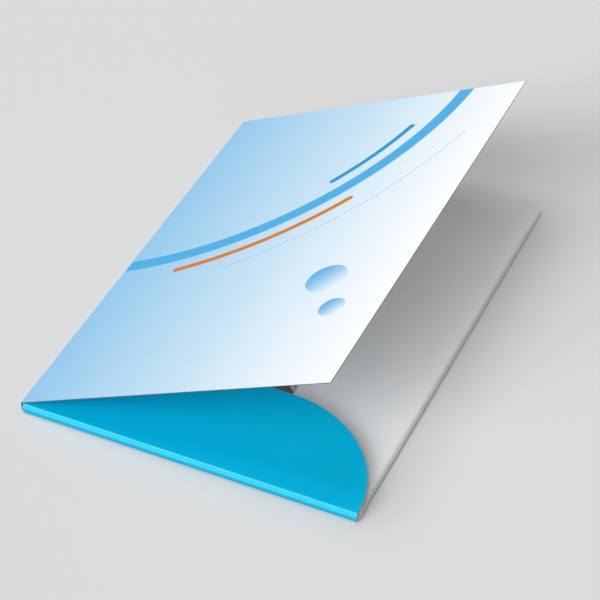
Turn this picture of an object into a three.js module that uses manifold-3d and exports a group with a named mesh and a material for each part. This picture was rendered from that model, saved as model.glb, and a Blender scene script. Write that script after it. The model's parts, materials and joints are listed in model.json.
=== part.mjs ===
// A presentation folder: one sheet of card, creased into two covers, a spine panel
// and a pocket with a gusset, with a loose leaflet standing in the pocket.
// Millimetres, +Z up. The folder lies on its back cover, with its spine along Y.
import * as THREE from "three";
import { mergeVertices } from "three/addons/utils/BufferGeometryUtils.js";
import Module from "manifold-3d";

const wasm = await Module();
wasm.setup();

// Driving sizes of the blank
const COVER_HEIGHT = 310; // along the spine
const FRONT_WIDTH = 220; // spine to free edge
const BACK_WIDTH = 218; // a little short, so that the closed front cover overhangs it
const CARD = 0.5; // coated card of about 400 g per square metre
const FOLD_RADIUS = 0.4; // inside radius of a fold that stays folded
const NOTCH_RADIUS = 2.2; // rounding where the spine and gusset creases meet

// Driving sizes of the pocket
const GUSSET_HEIGHT = 7.1; // outside, from the table to the pocket's face
const POCKET_HEIGHT = 75; // near edge to the pocket's straight top edge
const POCKET_CORNER_RADIUS = 75; // the outer corner's quarter round
const TAB_WIDTH = 18; // glued flap under the pocket, at its spine side
const TAB_NEAR_INSET = 8; // relief between the tab and the bottom gusset
const TAB_FAR_INSET = 5; // tab's end below the pocket's top edge
const TAB_TAPER = 6; // how far the tab's ends slope in over its width
const GLUE_THICKNESS = 0.1;
const GLUE_WIDTH = 10;
const GLUE_INSET = 3; // glue's ends, in from the tab's ends

// Driving sizes of the leaflet
const LEAFLET_WIDTH = 99;
const LEAFLET_HEIGHT = 210;
const LEAFLET_THICKNESS = 0.3;
const LEAFLET_RIGHT = 141; // its right edge, from the spine's outer face

// How far the front cover stands open, above the table
const OPEN_ANGLE = 25.2;

// Clearances
const CREASE_GAP = 0.3; // round nose of a moving crease to the cover beside it
const COVER_CLEARANCE = 0.2; // closed front cover to the pocket's face
const GUSSET_END_GAP = 0.8; // spine panel to the gusset's left end
const POCKET_EDGE_INSET = 0.5; // pocket's right end to the back cover's free edge
const LEAFLET_LIFT = 0.05; // leaflet above the back cover
const LEAFLET_END_GAP = 0.1; // leaflet's foot to the gusset's fold

// Arc steps
const FOLD_STEPS = 8;
const CORNER_STEPS = 48;
const CUT_MARGIN = 1; // how far a cutting tool reaches past what it cuts

// Places that follow from the sizes
const FOLD_OUTER = FOLD_RADIUS + CARD;
const CREASE_X = CARD / 2;
const REAR_CREASE_Z = CARD / 2;
const FRONT_CREASE_Z = GUSSET_HEIGHT + COVER_CLEARANCE + CARD / 2;
const NOSE_RADIUS = CARD / 2;
const COVER_START = NOSE_RADIUS + CREASE_GAP; // from a crease's axis
const POCKET_LEFT = CARD + GUSSET_END_GAP;
const POCKET_RIGHT = BACK_WIDTH - POCKET_EDGE_INSET;
const FLAT_LEFT = POCKET_LEFT + FOLD_OUTER; // where the pocket's face runs flat
const UPPER_FOLD_Z = GUSSET_HEIGHT - FOLD_OUTER;
const TAB_BOTTOM = CARD + GLUE_THICKNESS;
const TAB_FOLD_Z = TAB_BOTTOM + FOLD_OUTER;
const TAB_START = TAB_NEAR_INSET;
const TAB_END = POCKET_HEIGHT - TAB_FAR_INSET;
const TAB_FLAT_WIDTH = TAB_WIDTH - FOLD_OUTER;
const LEAFLET_FOOT = FOLD_OUTER + LEAFLET_END_GAP;

const QUARTER = Math.PI / 2;

// Card in its three finishes, and what goes with it
const printedCard = () => new THREE.MeshStandardMaterial({ color: "#cfe6f7", roughness: 0.45 });
const cyanCard = () => new THREE.MeshStandardMaterial({ color: "#00a3ce", roughness: 0.45 });
const whiteCard = () => new THREE.MeshStandardMaterial({ color: "#f1f1f0", roughness: 0.7 });
const glue = () => new THREE.MeshStandardMaterial({ color: "#e6dfc4", roughness: 0.3 });
const leafletPaper = () => new THREE.MeshStandardMaterial({ color: "#6b4656", roughness: 0.4 });

function rectangle(x0, y0, x1, y1) {
  return new THREE.Shape([
    new THREE.Vector2(x0, y0),
    new THREE.Vector2(x1, y0),
    new THREE.Vector2(x1, y1),
    new THREE.Vector2(x0, y1),
  ]);
}

// A quarter of a ring, the section of a pressed fold
function foldSection(cx, cy, startAngle) {
  const section = new THREE.Shape();
  section.absarc(cx, cy, FOLD_OUTER, startAngle, startAngle + QUARTER, false);
  section.absarc(cx, cy, FOLD_RADIUS, startAngle + QUARTER, startAngle, true);
  section.closePath();
  return section;
}

// A half disc, the section of a moving crease's round nose
function noseSection(cx, cy, startAngle) {
  const section = new THREE.Shape();
  section.absarc(cx, cy, NOSE_RADIUS, startAngle, startAngle + 2 * QUARTER, false);
  section.closePath();
  return section;
}

function extrude(shape, depth, steps = FOLD_STEPS) {
  return new THREE.ExtrudeGeometry(shape, { depth, bevelEnabled: false, curveSegments: steps });
}

// A shape drawn in plan, thickened upwards from z
function flatPanel(shape, z, thickness, steps) {
  return extrude(shape, thickness, steps).translate(0, 0, z);
}

// A section drawn in X and Z, run along Y from y0 to y1
function alongY(section, y0, y1, steps) {
  const [x, y, z] = [new THREE.Vector3(1, 0, 0), new THREE.Vector3(0, 0, 1), new THREE.Vector3(0, -1, 0)];
  const turn = new THREE.Matrix4().makeBasis(x, y, z);
  return extrude(section, y1 - y0, steps).applyMatrix4(turn).translate(0, y1, 0);
}

// A section drawn in Y and Z, run along X from x0 to x1
function alongX(section, x0, x1, steps) {
  const [x, y, z] = [new THREE.Vector3(0, 1, 0), new THREE.Vector3(0, 0, 1), new THREE.Vector3(1, 0, 0)];
  const turn = new THREE.Matrix4().makeBasis(x, y, z);
  return extrude(section, x1 - x0, steps).applyMatrix4(turn).translate(x0, 0, 0);
}

function toSolid(geometry) {
  const bare = geometry.clone();
  bare.deleteAttribute("normal");
  bare.deleteAttribute("uv");
  const welded = mergeVertices(bare, 1e-5);
  return new wasm.Manifold(
    new wasm.Mesh({
      numProp: 3,
      vertProperties: new Float32Array(welded.attributes.position.array),
      triVerts: new Uint32Array(welded.index.array),
    }),
  );
}

function toGeometry(solid) {
  const mesh = solid.getMesh();
  const geometry = new THREE.BufferGeometry();
  geometry.setAttribute("position", new THREE.BufferAttribute(mesh.vertProperties, 3));
  geometry.setIndex(new THREE.BufferAttribute(mesh.triVerts, 1));
  geometry.computeVertexNormals();
  return geometry;
}

// The waste outside a rounded lower left corner of the gusset's wall
function gussetCornerWaste() {
  const waste = new THREE.Shape();
  waste.moveTo(POCKET_LEFT + NOTCH_RADIUS, -CUT_MARGIN);
  waste.lineTo(POCKET_LEFT + NOTCH_RADIUS, 0);
  waste.absarc(POCKET_LEFT + NOTCH_RADIUS, NOTCH_RADIUS, NOTCH_RADIUS, -QUARTER, -2 * QUARTER, true);
  waste.lineTo(POCKET_LEFT - CUT_MARGIN, NOTCH_RADIUS);
  waste.lineTo(POCKET_LEFT - CUT_MARGIN, -CUT_MARGIN);
  waste.closePath();
  return alongY(waste, -CUT_MARGIN, FOLD_OUTER + CUT_MARGIN);
}

function roundGussetCorner(geometry) {
  return toGeometry(toSolid(geometry).subtract(toSolid(gussetCornerWaste())));
}

// The card that lies on the table
function backCover() {
  const left = CREASE_X + COVER_START;
  const outline = new THREE.Shape();
  outline.moveTo(left, COVER_HEIGHT);
  outline.lineTo(left, FOLD_OUTER + NOTCH_RADIUS);
  outline.absarc(left + NOTCH_RADIUS, FOLD_OUTER + NOTCH_RADIUS, NOTCH_RADIUS, 2 * QUARTER, 3 * QUARTER, false);
  outline.lineTo(BACK_WIDTH, FOLD_OUTER);
  outline.lineTo(BACK_WIDTH, COVER_HEIGHT);
  outline.closePath();
  return flatPanel(outline, 0, CARD);
}

// The spine panel's lower near corner is rounded where the two creases meet
function spinePanel() {
  const outline = new THREE.Shape();
  outline.moveTo(NOTCH_RADIUS, REAR_CREASE_Z);
  outline.lineTo(COVER_HEIGHT, REAR_CREASE_Z);
  outline.lineTo(COVER_HEIGHT, FRONT_CREASE_Z);
  outline.lineTo(0, FRONT_CREASE_Z);
  outline.lineTo(0, REAR_CREASE_Z + NOTCH_RADIUS);
  outline.absarc(NOTCH_RADIUS, REAR_CREASE_Z + NOTCH_RADIUS, NOTCH_RADIUS, 2 * QUARTER, 3 * QUARTER, false);
  return alongX(outline, 0, CARD);
}

function rearCrease() {
  return alongY(noseSection(CREASE_X, REAR_CREASE_Z, 2 * QUARTER), NOTCH_RADIUS, COVER_HEIGHT);
}

function frontCrease() {
  return alongY(noseSection(CREASE_X, FRONT_CREASE_Z, 0), 0, COVER_HEIGHT);
}

// Drawn from the crease's axis, which the group that holds it turns on
function frontCover() {
  const outline = rectangle(COVER_START, 0, FRONT_WIDTH - CREASE_X, COVER_HEIGHT);
  return flatPanel(outline, -CARD / 2, CARD);
}

function baseCrease() {
  const section = foldSection(FOLD_OUTER, FOLD_OUTER, 2 * QUARTER);
  return roundGussetCorner(alongX(section, POCKET_LEFT, POCKET_RIGHT));
}

function bottomGusset() {
  const wall = rectangle(POCKET_LEFT, FOLD_OUTER, POCKET_RIGHT, UPPER_FOLD_Z);
  return roundGussetCorner(alongY(wall, 0, CARD));
}

function pocketCrease() {
  return alongX(foldSection(FOLD_OUTER, UPPER_FOLD_Z, QUARTER), POCKET_LEFT, POCKET_RIGHT);
}

// The pocket's face: straight along the top, then a quarter round down to the near edge
function pocketPanel() {
  const centreX = POCKET_RIGHT - POCKET_CORNER_RADIUS;
  const centreY = POCKET_HEIGHT - POCKET_CORNER_RADIUS;
  const startAngle = Math.asin(Math.max(0, (FOLD_OUTER - centreY) / POCKET_CORNER_RADIUS));
  const outline = new THREE.Shape();
  outline.moveTo(FLAT_LEFT, POCKET_HEIGHT);
  outline.lineTo(FLAT_LEFT, FOLD_OUTER);
  outline.lineTo(centreX + POCKET_CORNER_RADIUS * Math.cos(startAngle), FOLD_OUTER);
  outline.absarc(centreX, centreY, POCKET_CORNER_RADIUS, startAngle, QUARTER, false);
  outline.closePath();
  return flatPanel(outline, GUSSET_HEIGHT - CARD, CARD, CORNER_STEPS);
}

function sideCrease() {
  return alongY(foldSection(FLAT_LEFT, UPPER_FOLD_Z, QUARTER), TAB_START, TAB_END);
}

function sideGusset() {
  const section = rectangle(POCKET_LEFT, TAB_FOLD_Z, POCKET_LEFT + CARD, UPPER_FOLD_Z);
  return alongY(section, TAB_START, TAB_END);
}

function tabCrease() {
  return alongY(foldSection(FLAT_LEFT, TAB_FOLD_Z, 2 * QUARTER), TAB_START, TAB_END);
}

// The flap's ends slope in, so that it slips under the pocket as it is folded
function glueTab() {
  const outline = new THREE.Shape([
    new THREE.Vector2(FLAT_LEFT, TAB_START),
    new THREE.Vector2(FLAT_LEFT + TAB_FLAT_WIDTH, TAB_START + TAB_TAPER),
    new THREE.Vector2(FLAT_LEFT + TAB_FLAT_WIDTH, TAB_END - TAB_TAPER),
    new THREE.Vector2(FLAT_LEFT, TAB_END),
  ]);
  return flatPanel(outline, TAB_BOTTOM, CARD);
}

function adhesiveStrip() {
  const x0 = FLAT_LEFT + (TAB_FLAT_WIDTH - GLUE_WIDTH) / 2;
  const inset = TAB_TAPER + GLUE_INSET;
  return flatPanel(rectangle(x0, TAB_START + inset, x0 + GLUE_WIDTH, TAB_END - inset), CARD, GLUE_THICKNESS);
}

function leaflet() {
  const x0 = LEAFLET_RIGHT - LEAFLET_WIDTH;
  const outline = rectangle(x0, LEAFLET_FOOT, LEAFLET_RIGHT, LEAFLET_FOOT + LEAFLET_HEIGHT);
  return flatPanel(outline, CARD + LEAFLET_LIFT, LEAFLET_THICKNESS);
}

function piece(name, geometry, material) {
  const mesh = new THREE.Mesh(geometry, material);
  mesh.name = name;
  return mesh;
}

// The blank's panels in the order that they join, from the table up
const folder = new THREE.Group();
folder.add(
  piece("back_cover", backCover(), whiteCard()),
  piece("rear_crease", rearCrease(), printedCard()),
  piece("spine_panel", spinePanel(), printedCard()),
  piece("front_crease", frontCrease(), printedCard()),
  piece("base_crease", baseCrease(), cyanCard()),
  piece("bottom_gusset", bottomGusset(), cyanCard()),
  piece("pocket_crease", pocketCrease(), cyanCard()),
  piece("pocket_panel", pocketPanel(), cyanCard()),
  piece("side_crease", sideCrease(), cyanCard()),
  piece("side_gusset", sideGusset(), cyanCard()),
  piece("tab_crease", tabCrease(), cyanCard()),
  piece("glue_tab", glueTab(), cyanCard()),
  piece("adhesive_strip", adhesiveStrip(), glue()),
  piece("insert_leaflet", leaflet(), leafletPaper()),
);

const openCover = new THREE.Group();
openCover.position.set(CREASE_X, 0, FRONT_CREASE_Z);
openCover.rotation.y = -THREE.MathUtils.degToRad(OPEN_ANGLE);
openCover.add(piece("front_cover", frontCover(), printedCard()));
folder.add(openCover);

// The origin is on the table, under the middle of the back cover
folder.position.set(-BACK_WIDTH / 2, -COVER_HEIGHT / 2, 0);

const presentationFolder = new THREE.Group();
presentationFolder.add(folder);

export default presentationFolder;
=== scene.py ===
# %% [markdown]
# # A presentation folder made from one sheet of card
#
# A folder like this starts as a flat sheet of coated card. A die cuts its outline, blunt
# rules press the creases, and a machine folds the flaps and glues one down. The script
# works in the same order: it cuts each zone flat, marks it with the sheet's coordinates,
# folds it, and hangs it on the body that moves it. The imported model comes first, because
# every size is read from it.

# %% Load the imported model
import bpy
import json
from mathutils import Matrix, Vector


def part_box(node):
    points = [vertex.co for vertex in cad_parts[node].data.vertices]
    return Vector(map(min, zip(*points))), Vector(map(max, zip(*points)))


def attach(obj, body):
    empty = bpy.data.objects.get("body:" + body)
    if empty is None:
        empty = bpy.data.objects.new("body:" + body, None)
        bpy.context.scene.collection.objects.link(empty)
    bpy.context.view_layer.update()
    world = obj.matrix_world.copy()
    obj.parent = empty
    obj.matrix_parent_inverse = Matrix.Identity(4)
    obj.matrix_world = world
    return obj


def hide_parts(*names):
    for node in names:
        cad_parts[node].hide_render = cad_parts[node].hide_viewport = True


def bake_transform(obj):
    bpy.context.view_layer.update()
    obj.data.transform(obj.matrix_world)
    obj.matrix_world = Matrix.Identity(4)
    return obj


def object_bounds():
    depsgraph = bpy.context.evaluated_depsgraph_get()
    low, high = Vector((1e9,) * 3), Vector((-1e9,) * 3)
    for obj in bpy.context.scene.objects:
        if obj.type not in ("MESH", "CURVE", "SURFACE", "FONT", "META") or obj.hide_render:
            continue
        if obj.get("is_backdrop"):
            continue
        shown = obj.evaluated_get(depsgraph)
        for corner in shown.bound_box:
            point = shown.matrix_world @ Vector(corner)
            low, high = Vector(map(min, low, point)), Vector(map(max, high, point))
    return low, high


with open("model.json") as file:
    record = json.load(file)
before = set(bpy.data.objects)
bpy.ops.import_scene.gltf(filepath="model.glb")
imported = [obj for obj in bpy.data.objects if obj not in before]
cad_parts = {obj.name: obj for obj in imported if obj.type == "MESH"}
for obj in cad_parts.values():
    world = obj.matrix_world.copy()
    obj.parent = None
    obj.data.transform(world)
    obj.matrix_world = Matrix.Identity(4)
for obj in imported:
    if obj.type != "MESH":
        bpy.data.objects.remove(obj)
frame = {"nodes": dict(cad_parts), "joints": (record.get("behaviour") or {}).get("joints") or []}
CAD_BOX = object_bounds()


def in_mm(*values):
    """Metres as rounded millimetres, for the notes that the cells print."""
    return [round(1000 * value, 2) for value in values]


print("folder, in mm:", in_mm(*CAD_BOX[1] - CAD_BOX[0]))

# %% Import what the lesson uses
import json
import math
from functools import partial

import bmesh
import bpy
from mathutils import Quaternion, Vector

print("Blender", bpy.app.version_string)

# %% [markdown]
# ## Camera
#
# The view looks down at the near edge from the right, through a long lens, so the card's
# edges stay almost parallel. The camera is also turned a little about its own line of
# sight, as one held by hand is.

# %% Place the camera
AZIMUTH = math.radians(23.83)
ELEVATION = math.radians(40.82)
ROLL = math.radians(0.633)
LENS = 136.46
DISTANCE = 1.43673
LOOK_AT = Vector((-0.00019, 0.00783, 0.0))


def towards(azimuth, elevation):
    """The direction from the object to something that stands at these angles."""
    flat = math.cos(elevation)
    return Vector((math.sin(azimuth) * flat, -math.cos(azimuth) * flat, math.sin(elevation)))


def show(thing):
    """Puts an object into the scene."""
    bpy.context.scene.collection.objects.link(thing)
    return thing


sight = towards(AZIMUTH, ELEVATION)
camera = show(bpy.data.objects.new("camera", bpy.data.cameras.new("camera")))
camera.data.lens = LENS
camera.location = LOOK_AT + DISTANCE * sight
camera.rotation_mode = "QUATERNION"
camera.rotation_quaternion = (-sight).to_track_quat("-Z", "Y") @ Quaternion((0, 0, 1), ROLL)
bpy.context.scene.camera = camera
print("camera at", [round(value, 3) for value in camera.location])

# %% [markdown]
# ## Light
#
# Paper needs soft light, because a hard lamp would show every dent. Sun lamps with a
# wide angle give soft shadows that are the same all over the table, and they don't
# fade with distance as a nearby panel would. A low one from the front left draws the
# long shadow behind the cover, a high one from the left lights the cover, and a third
# reaches in under it. The world fills the shadows, and the four together bring a white
# sheet to just under white.

# %% Set the lamps
LAMPS = {
    # azimuth, elevation and width in degrees, and strength
    "key_sun": (-25, 25, 34, 1.85),
    "left_sun": (-90, 72, 30, 0.90),
    "front_sun": (0, 50, 30, 0.74),
}
WORLD_STRENGTH = 0.29

for name, (azimuth, elevation, width, strength) in LAMPS.items():
    lamp = show(bpy.data.objects.new(name, bpy.data.lights.new(name, "SUN")))
    away = -towards(math.radians(azimuth), math.radians(elevation))
    lamp.rotation_euler = away.to_track_quat("-Z", "Y").to_euler()
    lamp.data.angle = math.radians(width)
    lamp.data.energy = strength
bpy.context.scene.view_settings.view_transform = "Standard"
print("lamps:", ", ".join(LAMPS))

# %% [markdown]
# ## Helpers for node trees
#
# Shaders and Geometry Nodes are both built in code. One small function adds a node and
# fills its inputs: a socket is linked, and any other value is typed in. A socket knows
# its own tree, so sums of sockets read like sums of numbers.


# %% Add a node and fill its inputs
def fill(node, inputs):
    """Links the sockets among the values to a node's inputs, and types the rest in."""
    for key, value in inputs.items():
        if isinstance(value, bpy.types.NodeSocket):
            node.id_data.links.new(value, node.inputs[key])
        else:
            node.inputs[key].default_value = value


def add(kind, inputs=None, tree=None, **settings):
    """Adds a node to the tree of its first linked input, or to the one named."""
    inputs = inputs or {}
    linked = [value for value in inputs.values() if isinstance(value, bpy.types.NodeSocket)]
    node = (tree or linked[0].id_data).nodes.new(kind)
    for key, value in settings.items():  # first, because they decide which inputs it has
        setattr(node, key, value)
    fill(node, inputs)
    return node


# %% Write sums
def maths(operation, *values):
    return add("ShaderNodeMath", dict(enumerate(values)), operation=operation).outputs[0]


times, minus, over = [partial(maths, name) for name in ("MULTIPLY", "SUBTRACT", "DIVIDE")]


def vector(operation, *values):
    node = add("ShaderNodeVectorMath", dict(enumerate(values)), operation=operation)
    return node.outputs["Value" if operation in ("DOT_PRODUCT", "LENGTH") else "Vector"]


def scaled(direction, factor):
    """A direction times a number."""
    inputs = {0: direction, "Scale": factor}
    return add("ShaderNodeVectorMath", inputs, operation="SCALE").outputs["Vector"]


def parts_of(place):
    """The x, y and z of a vector."""
    return add("ShaderNodeSeparateXYZ", {0: place}).outputs


def hypotenuse(first, second):
    squares = maths("MULTIPLY_ADD", first, first, times(second, second))
    return maths("SQRT", squares)


def remap(value, low, high, new_low=0.0, new_high=1.0):
    """A value's range as a new range, smoothly and without going past its ends."""
    inputs = {0: value, 1: low, 2: high, 3: new_low, 4: new_high}
    return add("ShaderNodeMapRange", inputs, interpolation_type="SMOOTHSTEP").outputs[0]


# %% [markdown]
# A node group has named sockets, and these helpers make and use one. A socket's default
# value tells its type, and a function builds the inside from the sockets. Colours are
# written as swatch codes and turned into the linear numbers that nodes work with.

# %% Make groups and colours
SOCKETS = {
    type(None): "NodeSocketGeometry",
    float: "NodeSocketFloat",
    tuple: "NodeSocketVector",
    str: "NodeSocketMaterial",
}


def node_group(name, inputs, build):
    """A group whose inside a function builds. It takes the input sockets and gives the results."""
    kind = "GeometryNodeTree" if None in inputs.values() else "ShaderNodeTree"
    tree = bpy.data.node_groups.new(name, kind)
    for socket, default in inputs.items():
        kind_in = SOCKETS[type(default)]
        item = tree.interface.new_socket(socket, in_out="INPUT", socket_type=kind_in)
        if default:  # an empty one is the socket's own default
            item.default_value = default
    results = build(*add("NodeGroupInput", tree=tree).outputs[: len(inputs)])
    for socket in results:
        kind_out = SOCKETS[type(None) if socket == "Geometry" else float]
        tree.interface.new_socket(socket, in_out="OUTPUT", socket_type=kind_out)
    fill(add("NodeGroupOutput", tree=tree), results)
    print("group:", name, "with", len(tree.nodes), "nodes")
    return tree


def use_group(group, inputs):
    """Places a group in a material, with its own values."""
    return add("ShaderNodeGroup", inputs, node_tree=group).outputs


def srgb(code):
    """A swatch's code as a linear colour."""
    shares = [int(code[i : i + 2], 16) / 255 for i in (1, 3, 5)]
    linear = [s / 12.92 if s <= 0.04045 else ((s + 0.055) / 1.055) ** 2.4 for s in shares]
    return (*linear, 1.0)


print("mid grey is", [round(value, 3) for value in srgb("#808080")])

# %% [markdown]
# ## Table and backdrop
#
# The table is one large pale plane, and the world behind it has the same tone, so no
# horizon shows in a low view. The world has two strengths: what the camera, a glossy
# surface or glass sees, and what lights the object.

# %% Lay the table
TABLE_SIDE = 30.0
TABLE_DROP = 0.00004
TABLE_TONE, TABLE_ROUGHNESS, TABLE_SHINE = 0.715, 0.9, 0.1
BACKGROUND = 0.72

world = bpy.data.worlds.new("studio")
world.use_nodes = True
bpy.context.scene.world = world
rays = add("ShaderNodeLightPath", tree=world.node_tree).outputs
seen = maths("MAXIMUM", rays["Is Camera Ray"], rays["Is Glossy Ray"])
seen = maths("MAXIMUM", seen, rays["Is Transmission Ray"])
gain = add("ShaderNodeMapRange", {0: seen, 3: WORLD_STRENGTH, 4: BACKGROUND}).outputs[0]
fill(world.node_tree.nodes["Background"], {"Color": (1, 1, 1, 1), "Strength": gain})

half = TABLE_SIDE / 2
corners = [(-half, -half), (half, -half), (half, half), (-half, half)]
table_mesh = bpy.data.meshes.new("table")
table_mesh.from_pydata([(x, y, -TABLE_DROP) for x, y in corners], [], [(0, 1, 2, 3)])
table = show(bpy.data.objects.new("table", table_mesh))
table_paint = bpy.data.materials.new("table_paint")
table_paint.use_nodes = True
finish = {"Base Color": (TABLE_TONE, TABLE_TONE, TABLE_TONE, 1), "Roughness": TABLE_ROUGHNESS}
fill(table_paint.node_tree.nodes["Principled BSDF"], finish | {"Specular IOR Level": TABLE_SHINE})
table_mesh.materials.append(table_paint)
table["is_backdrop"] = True
print("table tone:", TABLE_TONE)

# %% [markdown]
# ## Sizes of the sheet
#
# The flat sheet is described in its own coordinates: x runs across the covers, y along
# the spine, and the inside faces up. A crease is where the panels' middle planes meet,
# less what the bend itself uses up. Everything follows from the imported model's boxes
# and joints, so the sheet always folds up to fit them.

# %% Read the sheet's sizes from the model
back_low, back_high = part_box("back_cover")
joints = {joint["name"]: joint for joint in frame["joints"]}
REAR_AXIS = Vector(joints["rear_crease_fold"]["pos_m"])
FRONT_AXIS = Vector(joints["front_crease_fold"]["pos_m"])
OPEN_ANGLE = -math.radians(joints["front_crease_fold"]["range_deg"][0])

CARD = back_high.z - back_low.z
MIDDLE = CARD / 2
NEAR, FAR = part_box("spine_panel")[0].y, back_high.y
FOLD_OUTER = back_low.y - NEAR
TIGHT_INSIDE = 0.00002  # inside radius of the two creases that work as hinges
PRESSED_INSIDE = FOLD_OUTER - CARD  # inside radius of the folds that stay shut
RIGHT_ANGLE = math.pi / 2
REAR_TURN = RIGHT_ANGLE
FRONT_TURN = RIGHT_ANGLE - OPEN_ANGLE


def bend_length(inside, turn):
    """How much of the sheet a bend uses, measured on the middle plane."""
    return (inside + MIDDLE) * turn


def bend_reach(inside, turn):
    """From where a bend starts to where the two middle planes meet."""
    return (inside + MIDDLE) * math.tan(turn / 2)


REAR_REACH = bend_reach(TIGHT_INSIDE, REAR_TURN)
FRONT_REACH = bend_reach(TIGHT_INSIDE, FRONT_TURN)
cover_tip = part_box("front_cover")[1].x - FRONT_AXIS.x
FRONT_WIDTH = (cover_tip + MIDDLE * math.sin(OPEN_ANGLE)) / math.cos(OPEN_ANGLE)
REAR_START = REAR_AXIS.x + REAR_REACH
REAR_END = REAR_START - bend_length(TIGHT_INSIDE, REAR_TURN)
FRONT_START = REAR_END - (FRONT_AXIS.z - REAR_AXIS.z - REAR_REACH - FRONT_REACH)
FRONT_END = FRONT_START - bend_length(TIGHT_INSIDE, FRONT_TURN)
COVER_EDGE = FRONT_END - (FRONT_WIDTH - FRONT_REACH)
print("card, and cover from spine to edge, in mm:", in_mm(CARD, FRONT_WIDTH))

# %% [markdown]
# The pocket hangs from the near edge of the back cover. Its wall and face are a narrow
# and a wide stretch of the same strip, and its side flap folds twice. These are the
# places of the four pressed folds on the flat sheet.

# %% Find the pocket's folds on the flat sheet
wall_low, wall_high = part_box("bottom_gusset")
pocket_low, pocket_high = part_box("pocket_panel")
side_low, side_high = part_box("side_gusset")
tab_low, tab_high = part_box("glue_tab")
WALL_HEIGHT = wall_high.z - wall_low.z
PRESSED_LENGTH = bend_length(PRESSED_INSIDE, RIGHT_ANGLE)
BASE_FOLD = back_low.y
POCKET_FOLD = BASE_FOLD - PRESSED_LENGTH - WALL_HEIGHT
FACE_START = POCKET_FOLD - PRESSED_LENGTH
POCKET_TOP = FACE_START - (pocket_high.y - pocket_low.y)
POCKET_RADIUS = pocket_high.y - NEAR
SIDE_FOLD = pocket_low.x
TAB_FOLD = SIDE_FOLD - PRESSED_LENGTH - (side_high.z - side_low.z)
TAB_EDGE = TAB_FOLD - PRESSED_LENGTH - (tab_high.x - tab_low.x)
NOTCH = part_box("rear_crease")[0].y - NEAR
print("flat blank, in mm:", in_mm(back_high.x - COVER_EDGE, FAR - POCKET_TOP))

# %% [markdown]
# ## Folding with Geometry Nodes
#
# All folds follow one rule, so one node tree makes them all. A point's distance past
# the crease becomes an angle while it lies in the bend, and a straight run after it.
# Its height above the middle plane changes the radius it turns on, so the outside
# stretches and the inside tightens, as card does. The angle comes from the point's place
# on the flat sheet, because a zone that an earlier fold has raised must turn as one.
# The tree also stores how strongly the card is bent, for the wear of the print.


# %% Roll a point round a crease
def turned_place(crease_point, across, inward, angle, radius):
    """Where a point goes when the card is rolled through an angle on a radius."""
    place = add("GeometryNodeInputPosition", tree=angle.id_data).outputs[0]
    offset = vector("SUBTRACT", place, crease_point)
    past = vector("DOT_PRODUCT", offset, across)
    height = vector("DOT_PRODUCT", offset, inward)
    straight = minus(past, times(angle, radius))
    arm = minus(radius, height)
    sine, cosine = maths("SINE", angle), maths("COSINE", angle)
    along = maths("MULTIPLY_ADD", straight, cosine, times(arm, sine))
    drop = times(arm, cosine)
    rise = maths("MULTIPLY_ADD", straight, sine, minus(radius, drop))
    move_across = scaled(across, minus(along, past))
    move_inward = scaled(inward, minus(rise, height))
    return vector("ADD", place, vector("ADD", move_across, move_inward))


# %% Build the fold tree
def read_mark(tree, name, kind):
    return add("GeometryNodeInputNamedAttribute", {"Name": name}, tree, data_type=kind).outputs[0]


def step(kind, geometry, inputs=None, **settings):
    """A node that takes a geometry and gives the changed one."""
    return add("GeometryNode" + kind, {0: geometry} | (inputs or {}), **settings).outputs[0]


def build_fold(geometry, crease_point, across, inward, turn, inside, card, cut_finish):
    tree = geometry.id_data
    radius = maths("MULTIPLY_ADD", card, 0.5, inside)
    flat = vector("SUBTRACT", read_mark(tree, "flat_place", "FLOAT_VECTOR"), crease_point)
    run = vector("DOT_PRODUCT", flat, across)
    angle = maths("MINIMUM", maths("MAXIMUM", over(run, radius), 0.0), turn)
    bent = maths("PINGPONG", times(over(angle, turn), 2.0), 1.0)
    strongest = maths("MAXIMUM", read_mark(tree, "crease", "FLOAT"), bent)
    mark = {"Name": "crease", "Value": strongest}
    marked = step("StoreNamedAttribute", geometry, mark, data_type="FLOAT", domain="POINT")
    place = turned_place(crease_point, across, inward, angle, radius)
    real = step("RealizeInstances", step("SetPosition", marked, {"Position": place}))
    paint = {"Selection": read_mark(tree, "cut_edge", "BOOLEAN"), "Material": cut_finish}
    return {"Geometry": step("SetMaterial", real, paint)}


inputs = {"Geometry": None, "Crease Point": (0.0, 0.0, 0.0), "Across": (1.0, 0.0, 0.0)}
inputs |= {"Inward": (0.0, 0.0, 1.0), "Turn": 0.0, "Inside Radius": 0.0, "Card": 0.0, "Core": ""}
FOLD_TREE = node_group("Fold along a crease", inputs, build_fold)

# %% [markdown]
# The list below gives every fold: where it starts, which way the folded part lies, how
# far it turns, and on what inside radius. A zone goes through each fold between it and
# the back cover. Folding the outermost one first keeps the rest of the sheet flat,
# which is also how it is done by hand.

# %% List the folds
LEFT, DOWN = (-1.0, 0.0, 0.0), (0.0, -1.0, 0.0)
FOLDS = {
    "front": ((FRONT_START, 0, MIDDLE), LEFT, FRONT_TURN, TIGHT_INSIDE),
    "rear": ((REAR_START, 0, MIDDLE), LEFT, REAR_TURN, TIGHT_INSIDE),
    "tab": ((TAB_FOLD, 0, MIDDLE), LEFT, RIGHT_ANGLE, PRESSED_INSIDE),
    "side": ((SIDE_FOLD, 0, MIDDLE), LEFT, RIGHT_ANGLE, PRESSED_INSIDE),
    "pocket": ((0, POCKET_FOLD, MIDDLE), DOWN, RIGHT_ANGLE, PRESSED_INSIDE),
    "base": ((0, BASE_FOLD, MIDDLE), DOWN, RIGHT_ANGLE, PRESSED_INSIDE),
}


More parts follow.
